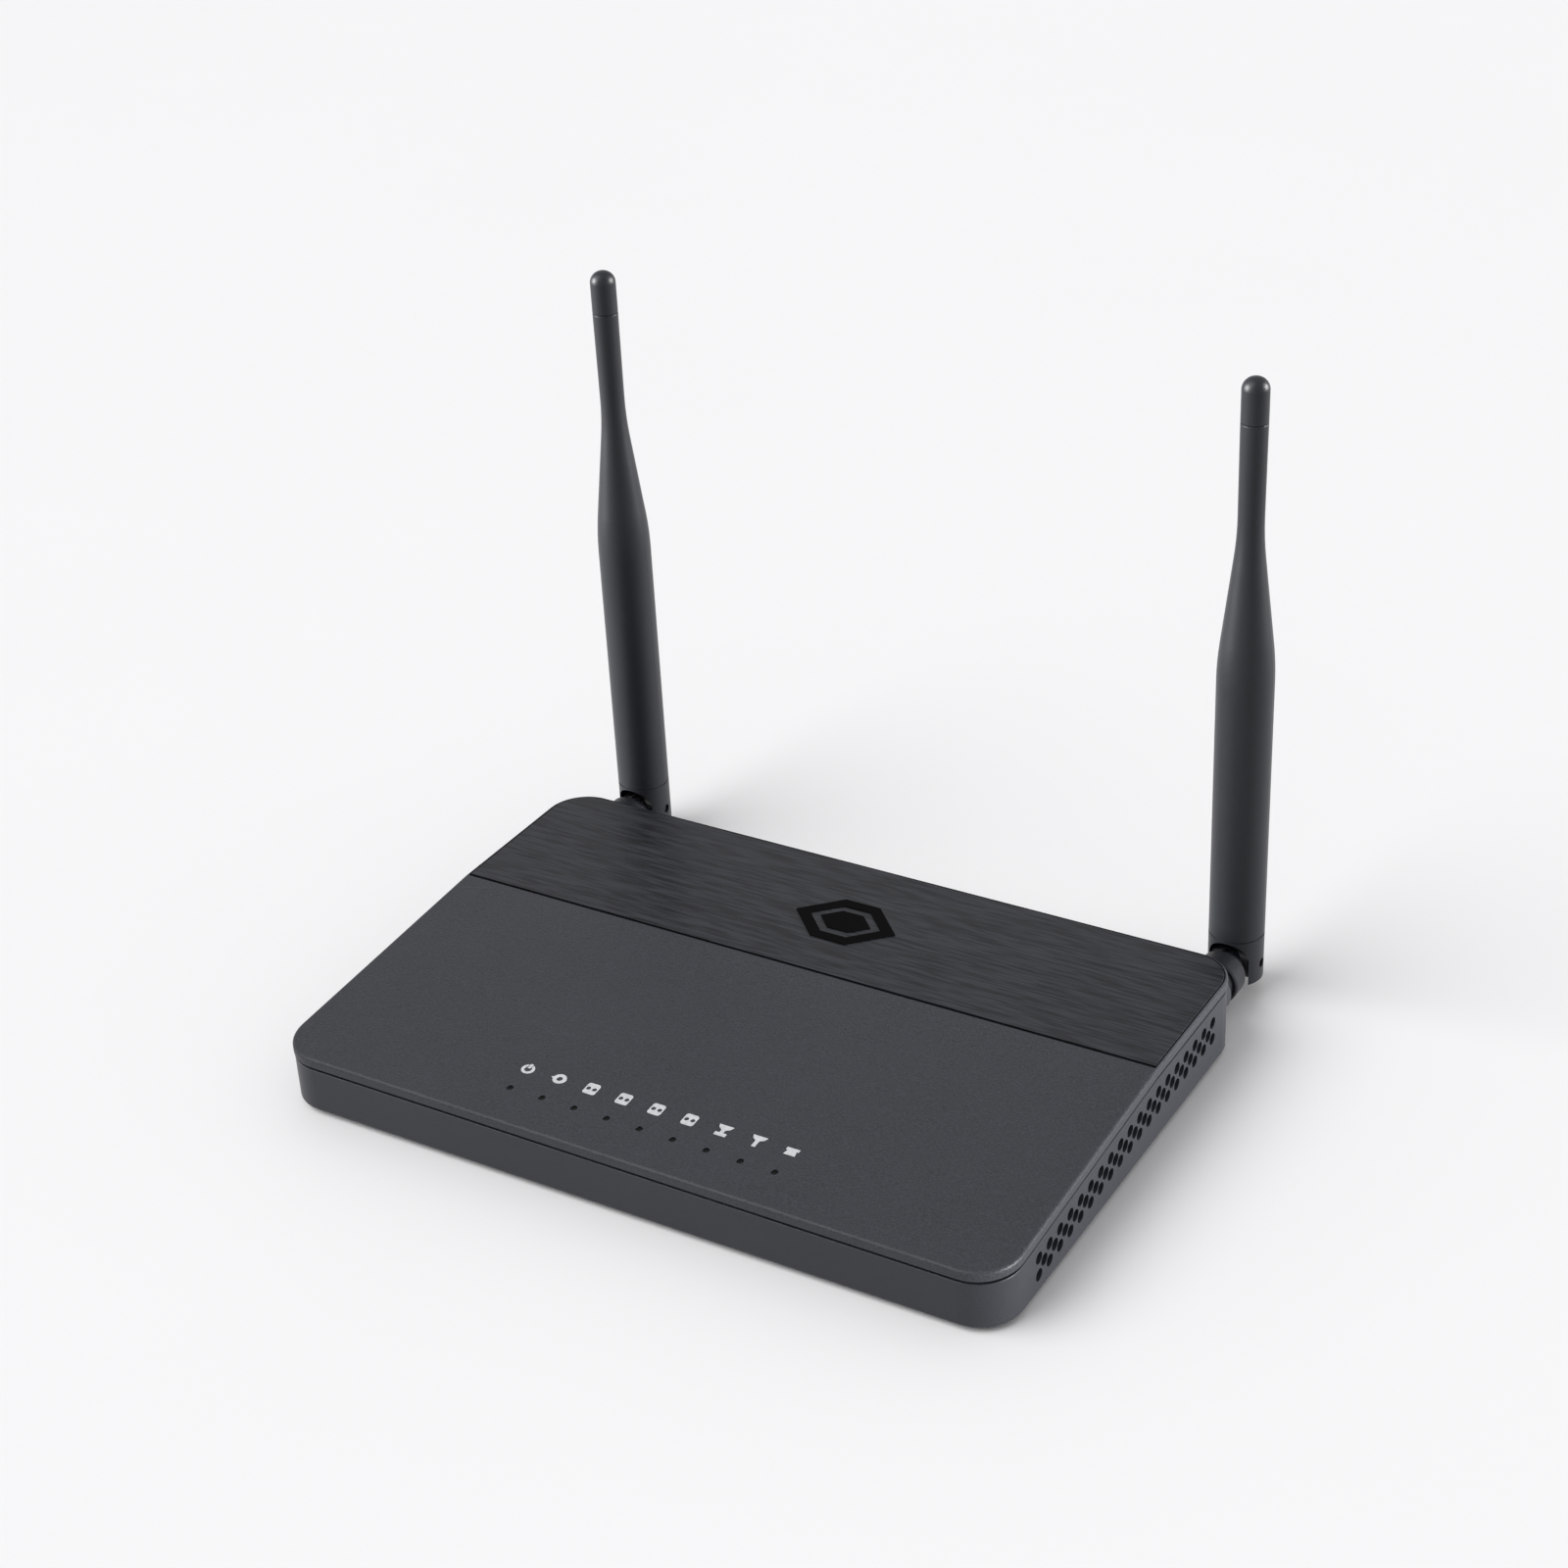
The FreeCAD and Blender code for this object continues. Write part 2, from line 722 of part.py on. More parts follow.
def make_board_parts():
    large, small = (4.0, 8.0), (3.15, 7.0)
    places = ((58.0, 4.0, large), (68.0, 4.0, large), (63.0, 18.0, small), (-66.0, 20.0, small))
    cans = []
    for x, y, (radius, height) in places:
        top = board_top + height - hair
        can = rod((x, y, board_top), UP, radius, height)
        cans.append(can.makeFillet(0.5, edges_where(can, lambda e, z=top: e.BoundBox.ZMin > z)))
    write_node("capacitors", *cans)
    pair_x = ((lan_x[0] + lan_x[1]) / 2, (lan_x[2] + lan_x[3]) / 2)
    write_node("network_transformers", *[block(x, 38.0, board_top, 15.0, 7.0, 5.6) for x in pair_x])
    write_node("power_inductors", *[block(x, 30.0, board_top, 7.0, 7.0, 3.2) for x in (57.0, 67.0)])


# ---------------------------------------------------------------- rear sockets

def jack_body(x, width, hole, latch_width):
    """A modular socket: a block with a stepped hole, its latch slot towards the board."""
    top = board_top + jack_height
    body = slab(x, width, back_face_y - jack_depth, back_face_y, board_top, top)
    hole_width, hole_height = hole
    hole_top = top - jack_wall
    hole_bottom = hole_top - hole_height
    hole_front = back_face_y - jack_hole_depth
    outside = back_face_y + 1
    body = body.cut(slab(x, hole_width, hole_front, outside, hole_bottom, hole_top))
    body = body.cut(slab(x, latch_width, hole_front + 3, outside, hole_bottom - latch_depth, hole_top - 1))

    def is_mouth(edge):
        middle = edge.CenterOfMass
        inside_x = abs(middle.x - x) < width / 2 - 0.1
        inside_z = board_top + 0.1 < middle.z < top - 0.1
        return edge.BoundBox.YMin > back_face_y - hair and inside_x and inside_z
    return one_solid(body.makeChamfer(0.3, edges_where(body, is_mouth)))


def socket_contacts(x, count):
    """Sprung contact wires that slope down from the roof of a socket's hole."""
    roof = board_top + jack_height - jack_wall
    rear = back_face_y - 3.0
    front = back_face_y - jack_hole_depth + 0.6
    low = roof - contact_drop
    profile = [(rear, roof), (front, low), (front, low - contact_height),
               (rear + contact_height, roof - contact_height), (rear + contact_height, roof)]
    places = [x + contact_pitch * (index - (count - 1) / 2) for index in range(count)]
    return [extruded_across(profile, place, contact_width) for place in places]


def make_modular_sockets():
    contacts = []
    for number, x in enumerate(lan_x, start=1):
        write_node("lan_jack_%d" % number, jack_body(x, lan_width, lan_hole, lan_latch_width))
        contacts += socket_contacts(x, 8)
    write_node("lan_jack_contacts", *contacts)
    write_node("phone_jack", jack_body(phone_x, phone_width, phone_hole, phone_latch_width))
    write_node("phone_jack_contacts", *socket_contacts(phone_x, 4))


def make_optical_port():
    """The square adapter in the back wall, and the transceiver that feeds its centre sleeve."""
    x, back = optical_x, back_face_y
    front = back - optical_depth
    top = port_z + optical_height / 2
    hole_front = back - optical_hole_depth
    body = slab(x, optical_width, front, back, board_top, top)
    body = body.cut(pad(x, port_z, optical_hole, hole_front, back + 1))
    body = body.cut(slab(x, 2.6, hole_front, back + 1, port_z, top - 0.5))
    body = body.fuse(rod((x, hole_front - 1, port_z), BACK, sleeve_radius, 8.0))
    body = body.cut(rod((x, front - 1, port_z), BACK, ferrule_radius, optical_depth))
    write_node("optical_adapter", one_solid(body))

    module_back = front - 0.1
    module = slab(x, 12.0, module_back - 20.0, module_back, board_top, board_top + 6.6)
    nose_front = module_back - 4.0
    nose = rod((x, nose_front, port_z), BACK, 3.0, 4.0)
    saddle = slab(x, 6.0, nose_front, module_back, board_top, port_z)
    write_node("optical_transceiver", one_solid(module.fuse(nose).fuse(saddle)))


def make_dust_cap():
    """A pull-out plug for the optical port: hollow shank, flange and ribbed finger grip."""
    x = optical_x
    flange_y = back_face_y + cap_stand_off
    grip_y = flange_y + cap_flange_thickness
    shank = round_sides(pad(x, port_z, cap_shank, flange_y - cap_shank_length, flange_y), 0.5, BACK)
    bore_start = flange_y - cap_shank_length - 0.5
    shank = shank.cut(rod((x, bore_start, port_z), BACK, sleeve_radius + 0.35, cap_shank_length))
    flange = round_sides(pad(x, port_z, cap_flange, flange_y, grip_y), 1.0, BACK)
    grip = round_sides(pad(x, port_z, cap_grip, grip_y, grip_y + cap_grip_length), 0.7, BACK)
    cap = shank.fuse(flange).fuse(grip)
    for step in range(3):
        y = grip_y + 2.5 + 1.6 * step
        for side in (-1, 1):
            z = port_z + side * cap_grip[1] / 2
            cap = cap.cut(slab(x, cap_grip[0] + 1, y, y + 0.7, z - 0.3, z + 0.3))
    write_node("optical_dust_cap", one_solid(cap))


def make_power_inlet():
    x, back = power_inlet_x, back_face_y
    nose_front = back - 3.9
    bore_front = back - inlet_bore_depth
    body = slab(x, 9.8, back - 14.0, back - 2.9, board_top, board_top + 11.0)
    body = body.fuse(rod((x, nose_front, port_z), BACK, inlet_nose_radius, back - nose_front))
    body = body.cut(rod((x, bore_front, port_z), BACK, inlet_bore_radius, 2 * inlet_bore_depth))
    write_node("power_inlet", one_solid(body))
    pin = rod((x, bore_front, port_z), BACK, inlet_pin_radius, inlet_pin_length)
    write_node("power_inlet_pin", round_back(pin, 0.5))


# ---------------------------------------------------------------- switches and buttons

def make_switch(name, x, width, stem_radius):
    """A switch block on the board with a guide bore for its button's stem."""
    body = slab(x, width, switch_face_y - switch_depth, switch_face_y, board_top, port_z + 3.4)
    bore_start = switch_face_y - switch_bore_depth
    bore = rod((x, bore_start, port_z), BACK, stem_radius + running_clearance, switch_depth)
    write_node(name, one_solid(body.cut(bore)))


def make_button(name, x, cap_radius, proud, flange_radius, stem_radius):
    """A push button: stem in the switch, flange behind the back wall, rounded cap outside."""
    stem_y = switch_face_y - stem_reach
    flange_y = flange_face_y - flange_thickness
    stem = rod((x, stem_y, port_z), BACK, stem_radius, flange_face_y - stem_y)
    flange = rod((x, flange_y, port_z), BACK, flange_radius, flange_thickness)
    cap = rod((x, flange_face_y, port_z), BACK, cap_radius, back_face_y + proud - flange_face_y)
    write_node(name, one_solid(stem.fuse(flange).fuse(round_back(cap, 0.6))))


def make_controls():
    make_switch("power_switch", power_button_x, 8.0, 1.6)
    make_button("power_button", power_button_x, power_cap_radius, 2.9, 4.8, 1.6)
    make_switch("wps_switch", wps_x, 6.4, 1.2)
    make_button("wps_button", wps_x, wps_cap_radius, 1.2, 3.6, 1.2)
    make_switch("reset_switch", reset_x, 6.0, 1.0)
    plunger = rod((reset_x, switch_face_y - stem_reach, port_z), BACK, 1.0, 7.6)
    write_node("reset_button", round_back(plunger, 0.25))


# ---------------------------------------------------------------- antennas

def hinge_rod(x, radius, length):
    """A rod along the hinge's axis, centred on x."""
    return rod((x - length / 2, antenna_y, hinge_z), RIGHT, radius, length)


def make_swivel(side, name):
    """The part that turns in the case: shaft, waist, round barrel, neck and hinge knuckle."""
    x = side * antenna_x
    start, end, radius = waist_end_y, barrel_end_y, barrel_radius
    steps = [(shaft_front_y, shaft_radius), (barrel_start_y, shaft_radius), (barrel_start_y, waist_radius),
             (start, waist_radius), (start, radius - 0.4), (start + 0.4, radius), (end - 1.1, radius),
             (end - 0.4, radius - 0.3), (end, radius - 1.0), (end, neck_radius), (antenna_y, neck_radius)]
    swivel = turned(steps, Vector(x, 0, hinge_z), BACK, RIGHT)
    swivel = swivel.fuse(hinge_rod(x, knuckle_radius, knuckle_length))
    swivel = swivel.cut(rod((x, shaft_front_y - 1, hinge_z), BACK, lead_bore_radius, lead_bore_length))
    swivel = swivel.cut(hinge_rod(x, hinge_pin_radius + running_clearance, 2 * hinge_pin_length))
    write_node("swivel_barrel_" + name, one_solid(swivel))

    ring_y = shaft_front_y + 0.5
    ring_length = pad_front_y - 0.3 - ring_y
    write_node("swivel_retainer_" + name,
               tube((x, ring_y, hinge_z), BACK, retainer_radius, shaft_radius, ring_length))


def foot_slot(x):
    """The space that the swivel's knuckle and neck need as the antenna folds back."""
    front = antenna_y - foot_radius - 1
    bottom = hinge_z - foot_radius - 1
    arch_z = hinge_z + slot_arch_lift
    mouth = slab(x, slot_width, front, antenna_y + slot_radius, bottom, hinge_z)
    step = slab(x, slot_width, front, antenna_y, hinge_z, arch_z)
    arch = rod((x, front, arch_z), BACK, slot_width / 2, foot_radius + 1)
    pocket = hinge_rod(x, slot_radius, slot_width)
    return mouth.fuse(step).fuse(arch).fuse(pocket)


def make_antenna_foot(side, name):
    """The antenna's slotted lower end, which straddles the swivel's knuckle on a pin."""
    x = side * antenna_x
    upper = rod((x, antenna_y, hinge_z), UP, foot_radius, foot_top_z - hinge_z)
    lower = rod((x, antenna_y, hinge_z - foot_reach), UP, foot_radius, foot_reach)
    round_end = hinge_rod(x, foot_radius, 2 * foot_radius)
    foot = upper.fuse(lower.common(round_end)).cut(foot_slot(x))
    foot = foot.cut(hinge_rod(x, hinge_pin_radius, 2 * hinge_pin_length))
    foot = foot.fuse(rod((x, antenna_y, foot_top_z), UP, spigot_radius, spigot_top_z - foot_top_z))
    foot = foot.cut(rod((x, antenna_y, foot_top_z - 0.6), UP, 1.3, well_above))
    seam_z = foot_top_z - seam_size
    foot = foot.cut(tube((x, antenna_y, seam_z), UP, foot_radius + 1, foot_radius - seam_size, seam_size))
    write_node("antenna_foot_" + name, one_solid(foot))
    write_node("hinge_pin_" + name, hinge_rod(x, hinge_pin_radius, hinge_pin_length))


def make_antenna_tube(side, name):
    """The antenna's tapered cover, its tip and the radiator in it."""
    x = side * antenna_x
    axis_point = Vector(x, antenna_y, 0)

    def at(radius, z):
        return Vector(x + radius, antenna_y, z)

    points = [at(0, foot_top_z), at(foot_radius, foot_top_z), at(foot_radius, taper_start_z),
              at(radome_neck_radius, taper_end_z), at(tip_radius, tip_joint_z), at(0, tip_joint_z)]
    radii = [0.2, taper_blend_radius, taper_blend_radius, seam_size]
    cover = revolve_edges(rounded_path(points, radii), axis_point, UP)
    bore = [(foot_top_z, radome_bore_radius), (taper_start_z - 3, radome_bore_radius),
            (taper_end_z - 5, tip_bore_radius), (tip_joint_z, tip_bore_radius)]
    write_node("antenna_radome_" + name, one_solid(cover.cut(turned(bore, axis_point, UP, RIGHT))))

    tip_z = tip_joint_z + 0.1
    points = [at(0, tip_z), at(tip_radius, tip_z), at(tip_radius, tip_top_z), at(0, tip_top_z)]
    tip = revolve_edges(rounded_path(points, [seam_size, tip_radius - 0.25]), axis_point, UP)
    plug = rod((x, antenna_y, tip_joint_z - 5), UP, tip_bore_radius - 0.05, 8.0)
    write_node("antenna_tip_" + name, one_solid(tip.fuse(plug)))

    radiator = [(foot_top_z - 0.5, lead_in_radius)]
    for start_z, end_z, radius, wire_radius in radiator_stages:
        radiator += [(start_z, radiator[-1][1]), (start_z, radius), (end_z, radius), (end_z, wire_radius)]
    radiator.append((tip_joint_z - 8, radiator[-1][1]))
    write_node("antenna_radiator_" + name, turned(radiator, axis_point, UP, RIGHT))


def make_antenna_lead(side, name):
    """The thin coaxial lead from the board to the hollow swivel shaft."""
    start = Vector(side * 77.2, 51.5, board_top + 0.9)
    points = [start, start + Vector(side * 4.8, 0, 0.2), Vector(side * 88.0, 50.8, hinge_z),
              Vector(side * antenna_x, 55.0, hinge_z), Vector(side * antenna_x, 62.0, hinge_z)]
    spine = Part.Wire(rounded_path(points, [5.0, 3.2, 5.0]))
    section = Part.Wire(Part.makeCircle(lead_radius, start, spine.Edges[0].tangentAt(0)))
    lead = spine.makePipeShell([section], True, True)
    volume_ratio = lead.Volume / (math.pi * lead_radius ** 2 * spine.Length)
    print("antenna lead", name, "length", round(spine.Length, 1), "volume ratio", round(volume_ratio, 3))
    plug = block(start.x - side * 1.4, start.y, board_top, 2.8, 2.8, 1.8)
    write_node("antenna_lead_" + name, one_solid(lead.fuse(plug)))


def make_antennas():
    for side, name in ((-1, "left"), (1, "right")):
        make_swivel(side, name)
        make_antenna_foot(side, name)
        make_antenna_tube(side, name)
        make_antenna_lead(side, name)


def main():
    os.makedirs("parts", exist_ok=True)
    make_bottom_housing()
    make_top_cover()
    make_brushed_panel()
    make_badge()
    make_indicator_icons()
    make_light_guides()
    make_circuit_board()
    make_screws()
    make_rubber_feet()
    make_shield_can("radio_shield_left", -46.0, 12.0, 30.0, 22.0, 2.6)
    make_shield_can("radio_shield_right", 32.0, 12.0, 26.0, 22.0, 2.6)
    make_chip_and_heat_sink()
    make_board_parts()
    make_modular_sockets()
    make_optical_port()
    make_dust_cap()
    make_power_inlet()
    make_controls()
    make_antennas()


main()
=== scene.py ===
import json
import math

import bmesh
import bpy
from mathutils import Matrix, Vector

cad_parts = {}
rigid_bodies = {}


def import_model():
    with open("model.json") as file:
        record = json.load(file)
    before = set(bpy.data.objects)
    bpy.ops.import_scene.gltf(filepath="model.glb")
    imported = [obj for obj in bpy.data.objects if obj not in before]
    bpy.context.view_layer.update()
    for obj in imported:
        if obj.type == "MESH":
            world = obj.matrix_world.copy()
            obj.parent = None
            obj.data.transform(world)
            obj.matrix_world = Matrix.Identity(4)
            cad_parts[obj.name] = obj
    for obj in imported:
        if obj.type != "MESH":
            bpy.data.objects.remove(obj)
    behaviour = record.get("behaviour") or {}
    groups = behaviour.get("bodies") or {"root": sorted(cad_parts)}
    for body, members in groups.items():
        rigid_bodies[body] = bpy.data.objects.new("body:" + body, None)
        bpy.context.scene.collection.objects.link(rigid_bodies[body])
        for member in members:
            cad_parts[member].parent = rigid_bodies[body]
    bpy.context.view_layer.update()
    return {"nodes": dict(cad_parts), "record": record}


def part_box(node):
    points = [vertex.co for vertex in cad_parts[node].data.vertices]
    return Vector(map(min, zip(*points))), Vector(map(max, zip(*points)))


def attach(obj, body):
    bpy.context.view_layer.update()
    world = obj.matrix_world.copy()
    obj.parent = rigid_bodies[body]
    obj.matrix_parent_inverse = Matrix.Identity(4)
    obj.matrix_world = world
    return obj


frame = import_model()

# Looks of an optical network terminal: procedural materials for the frame's nodes, small printed and
# moulded details, a pale floor, soft studio light and the camera. Lengths are in metres.

MM = 0.001


# ---------------------------------------------------------------- shader helpers

NOISE = (0.3, 0.7)              # most values of a noise texture lie in this range
WHOLE = (0.0, 1.0)
EVEN = (1, 1, 1)
EDGE_COSINES = (0.995, 0.86)    # lean of a rounded edge's normal where wear starts, and where it is full


class Shader:
    """A new material with its node tree, and short calls for the nodes used here."""

    def __init__(self, name, colour, roughness, metallic=0.0, specular=0.5):
        self.name = name
        self.colour = colour
        self.normal = None
        self.material = bpy.data.materials.new(name)
        self.material.use_nodes = True
        self.tree = self.material.node_tree
        self.bsdf = self.tree.nodes["Principled BSDF"]
        self.set("Base Color", (*colour, 1.0))
        self.set("Roughness", roughness)
        self.set("Metallic", metallic)
        self.set("Specular IOR Level", specular)

    def set(self, socket, value):
        self.bsdf.inputs[socket].default_value = value

    def link(self, output, target):
        self.tree.links.new(output, target)

    def node(self, kind, **settings):
        made = self.tree.nodes.new(kind)
        for name, value in settings.items():
            setattr(made, name, value)
        return made

    def texture(self, kind, stretch, numbers):
        """A texture in object coordinates, stretched, with the numbers given for its sockets."""
        coordinates = self.node("ShaderNodeTexCoord")
        mapping = self.node("ShaderNodeMapping")
        mapping.inputs["Scale"].default_value = stretch
        made = self.node(kind)
        for socket, number in numbers.items():
            made.inputs[socket].default_value = number
        self.link(coordinates.outputs["Object"], mapping.inputs["Vector"])
        self.link(mapping.outputs["Vector"], made.inputs["Vector"])
        return made

    def noise(self, per_metre, detail=3.0, roughness=0.55, stretch=EVEN, distortion=0.0):
        numbers = {"Scale": per_metre, "Detail": detail, "Roughness": roughness, "Distortion": distortion}
        return self.texture("ShaderNodeTexNoise", stretch, numbers).outputs["Fac"]

    def cells(self, per_metre):
        return self.texture("ShaderNodeTexVoronoi", EVEN, {"Scale": per_metre}).outputs["Distance"]

    def span(self, value, old=NOISE, new=WHOLE):
        """The value, carried from an old range to a new one and clamped there."""
        mapped = self.node("ShaderNodeMapRange")
        self.link(value, mapped.inputs["Value"])
        for socket, number in zip(("From Min", "From Max", "To Min", "To Max"), (*old, *new)):
            mapped.inputs[socket].default_value = number
        return mapped.outputs["Result"]

    def maths(self, operation, first, second):
        made = self.node("ShaderNodeMath", operation=operation)
        for socket, value in zip(made.inputs, (first, second)):
            if isinstance(value, (int, float)):
                socket.default_value = value
            else:
                self.link(value, socket)
        return made.outputs["Value"]

    def mix(self, factor, first, second):
        """A colour between two, each given as an output or as a factor on the base colour."""
        made = self.node("ShaderNodeMix", data_type="RGBA")
        self.link(factor, made.inputs["Factor"])
        for socket, value in ((made.inputs["A"], first), (made.inputs["B"], second)):
            if isinstance(value, (int, float)):
                socket.default_value = (*[channel * value for channel in self.colour], 1.0)
            else:
                self.link(value, socket)
        return made.outputs["Result"]

    def bump(self, height, depth):
        """Adds relief of the given depth in metres on top of any relief there is already."""
        made = self.node("ShaderNodeBump")
        made.inputs["Strength"].default_value = 1.0
        made.inputs["Distance"].default_value = depth
        self.link(height, made.inputs["Height"])
        if self.normal:
            self.link(self.normal, made.inputs["Normal"])
        self.normal = made.outputs["Normal"]
        self.link(self.normal, self.bsdf.inputs["Normal"])

    def edges(self, radius):
        """1 along the object's edges, within about radius of them, and 0 elsewhere."""
        rounded = self.node("ShaderNodeBevel", samples=4)
        rounded.inputs["Radius"].default_value = radius
        geometry = self.node("ShaderNodeNewGeometry")
        dot = self.node("ShaderNodeVectorMath", operation="DOT_PRODUCT")
        self.link(rounded.outputs["Normal"], dot.inputs[0])
        self.link(geometry.outputs["Normal"], dot.inputs[1])
        return self.span(dot.outputs["Value"], EDGE_COSINES)

    def paint(self, output):
        self.link(output, self.bsdf.inputs["Base Color"])

    def polish(self, output):
        self.link(output, self.bsdf.inputs["Roughness"])


# ---------------------------------------------------------------- materials

def moulded(name, colour, roughness, grain, depth, specular=0.5, wear=0.3, fleck=0.5):
    """Moulded plastic: spark-eroded grain, faint flow mottling, handling marks and paler worn edges."""
    flow_scale, handling_scale = 38, 90
    mottle, fleck_shade, worn_shade = 0.08, 1.6, 2.2
    edge_width, worn_gloss = 0.35 * MM, 0.25
    pit_scale, pit_depth = 0.6 / grain, depth * 0.6
    shader = Shader(name, colour, roughness, specular=specular)
    flow = shader.noise(flow_scale, detail=4)
    speckle = shader.noise(1 / grain, detail=2)
    tint = shader.mix(shader.span(flow), 1 - mottle, 1 + mottle)
    flecked = shader.mix(shader.span(speckle, (0.4, 0.62), (0, fleck)), tint, fleck_shade)
    worn = shader.maths("MULTIPLY", shader.edges(edge_width), wear)
    shader.paint(shader.mix(worn, flecked, worn_shade))
    marks = shader.noise(handling_scale, detail=5, distortion=0.6)
    handled = shader.span(marks, (0.35, 0.7), (-0.015, 0.02))
    fine = shader.span(speckle, NOISE, (-0.03, 0.03))
    rough = shader.maths("ADD", shader.maths("ADD", handled, fine), roughness)
    shader.polish(shader.maths("SUBTRACT", rough, shader.maths("MULTIPLY", worn, worn_gloss)))
    shader.bump(shader.noise(1 / grain, detail=3, roughness=0.6), depth)
    shader.bump(shader.cells(pit_scale), pit_depth)
    return shader


def brushed_film(name, colour, roughness, specular):
    """A brushed film: short dark dashes that run across the case, along X, over finer hairlines."""
    dash_share, dash_depth, dash_stretch = 0.6, 0.014 * MM, (110, 1500, 110)
    hair_share, hair_depth, hair_stretch = 0.4, 0.008 * MM, (60, 3200, 60)
    dark_shade, pale_shade, worn_shade = 0.38, 1.66, 2.0
    edge_width, wear = 0.25 * MM, 0.3
    shader = Shader(name, colour, roughness, specular=specular)
    dashes = shader.noise(1.0, detail=1, roughness=0.4, stretch=dash_stretch)
    hairs = shader.noise(1.0, detail=2, roughness=0.5, stretch=hair_stretch)
    both = shader.maths("ADD", shader.maths("MULTIPLY", dashes, dash_share),
                        shader.maths("MULTIPLY", hairs, hair_share))
    toned = shader.mix(shader.span(both, (0.40, 0.60)), dark_shade, pale_shade)
    worn = shader.maths("MULTIPLY", shader.edges(edge_width), wear)
    shader.paint(shader.mix(worn, toned, worn_shade))
    shader.polish(shader.span(both, (0.35, 0.65), (roughness - 0.06, roughness + 0.08)))
    shader.bump(dashes, dash_depth)
    shader.bump(hairs, hair_depth)
    return shader


def printed(name, colour, roughness, specular=0.3):
    """Screen-printed ink: slightly uneven cover with a faint mesh pattern in its relief."""
    cover_scale, thin_shade, thick_shade = 900, 0.86, 1.06
    mesh_scale, mesh_depth = 5200, 0.004 * MM
    shader = Shader(name, colour, roughness, specular=specular)
    cover = shader.noise(cover_scale, detail=4)
    shader.paint(shader.mix(shader.span(cover, (0.35, 0.7)), thin_shade, thick_shade))
    shader.polish(shader.span(cover, NOISE, (roughness - 0.05, roughness + 0.08)))
    shader.bump(shader.cells(mesh_scale), mesh_depth)
    return shader


def plated(name, colour, roughness, grain=0.25 * MM, stretch=EVEN, tarnish=0.35):
    """Plated or plain metal: drawn or tumbled texture, slight tarnish and brighter rubbed edges."""
    cloud_scale, line_depth = 260, 0.004 * MM
    clean_shade, dull_shade, rubbed_shade = 1.0, 0.55, 1.25
    edge_width, rubbing, dull_roughness = 0.2 * MM, 0.5, 0.3
    shader = Shader(name, colour, roughness, metallic=1.0)
    lines = shader.noise(1 / grain, detail=3, stretch=stretch)
    cloud = shader.noise(cloud_scale, detail=5, distortion=0.4)
    dull = shader.span(cloud, (0.4, 0.75), (0, tarnish))
    aged = shader.mix(dull, clean_shade, dull_shade)
    rubbed = shader.maths("MULTIPLY", shader.edges(edge_width), rubbing)
    shader.paint(shader.mix(rubbed, aged, rubbed_shade))
    rough = shader.maths("ADD", shader.span(lines, NOISE, (-0.06, 0.08)), roughness)
    shader.polish(shader.maths("ADD", rough, shader.maths("MULTIPLY", dull, dull_roughness)))
    shader.bump(lines, line_depth)
    return shader


def rubber(name, colour):
    """Matt rubber with a pebbled skin and a dusty bloom."""
    bloom_scale, bare_shade, dusty_shade = 320, 0.85, 2.1
    pebble_scale, pebble_depth = 2600, 0.02 * MM
    shader = Shader(name, colour, roughness=0.8, specular=0.3)
    bloom = shader.noise(bloom_scale, detail=6, distortion=0.5)
    shader.paint(shader.mix(shader.span(bloom, (0.4, 0.8), (0, 0.6)), bare_shade, dusty_shade))
    shader.polish(shader.span(bloom, NOISE, (0.7, 0.9)))
    shader.bump(shader.cells(pebble_scale), pebble_depth)
    return shader


def clear_plastic(name, colour, roughness):
    """Tinted clear plastic, for the light guides and the lamp windows of the network sockets."""
    haze_scale, clear_shade, hazy_shade = 700, 0.8, 1.3
    ripple_scale, ripple_depth = 1500, 0.003 * MM
    shader = Shader(name, colour, roughness, specular=0.1)
    shader.set("Transmission Weight", 0.2)
    haze = shader.noise(haze_scale, detail=3)
    shader.paint(shader.mix(shader.span(haze, (0.35, 0.7)), clear_shade, hazy_shade))
    shader.polish(shader.span(haze, NOISE, (roughness, roughness + 0.12)))
    shader.bump(shader.noise(ripple_scale, detail=2), ripple_depth)
    return shader


def solder_mask(name, colour):
    """Green board: copper tracks under the mask as raised lines, and laminate weave beneath."""
    track_scale, track_depth, track_shade = 300, 0.03 * MM, 1.9
    weave_scale, weave_depth = 1300, 0.002 * MM
    cloud_scale, dark_shade, pale_shade = 120, 0.8, 1.1
    shader = Shader(name, colour, roughness=0.3)
    tracks = shader.texture("ShaderNodeTexBrick", (track_scale, track_scale, track_scale),
                            {"Scale": 1.0, "Mortar Size": 0.16, "Brick Width": 1.7, "Row Height": 0.62})
    tracks.offset = 0.35
    weave = shader.texture("ShaderNodeTexChecker", EVEN, {"Scale": weave_scale})
    cloud = shader.noise(cloud_scale, detail=3)
    ground = shader.mix(shader.span(cloud), dark_shade, pale_shade)
    shader.paint(shader.mix(tracks.outputs["Fac"], ground, track_shade))
    shader.polish(shader.span(cloud, NOISE, (0.24, 0.38)))
    shader.bump(tracks.outputs["Fac"], track_depth)
    shader.bump(weave.outputs["Fac"], weave_depth)
    return shader


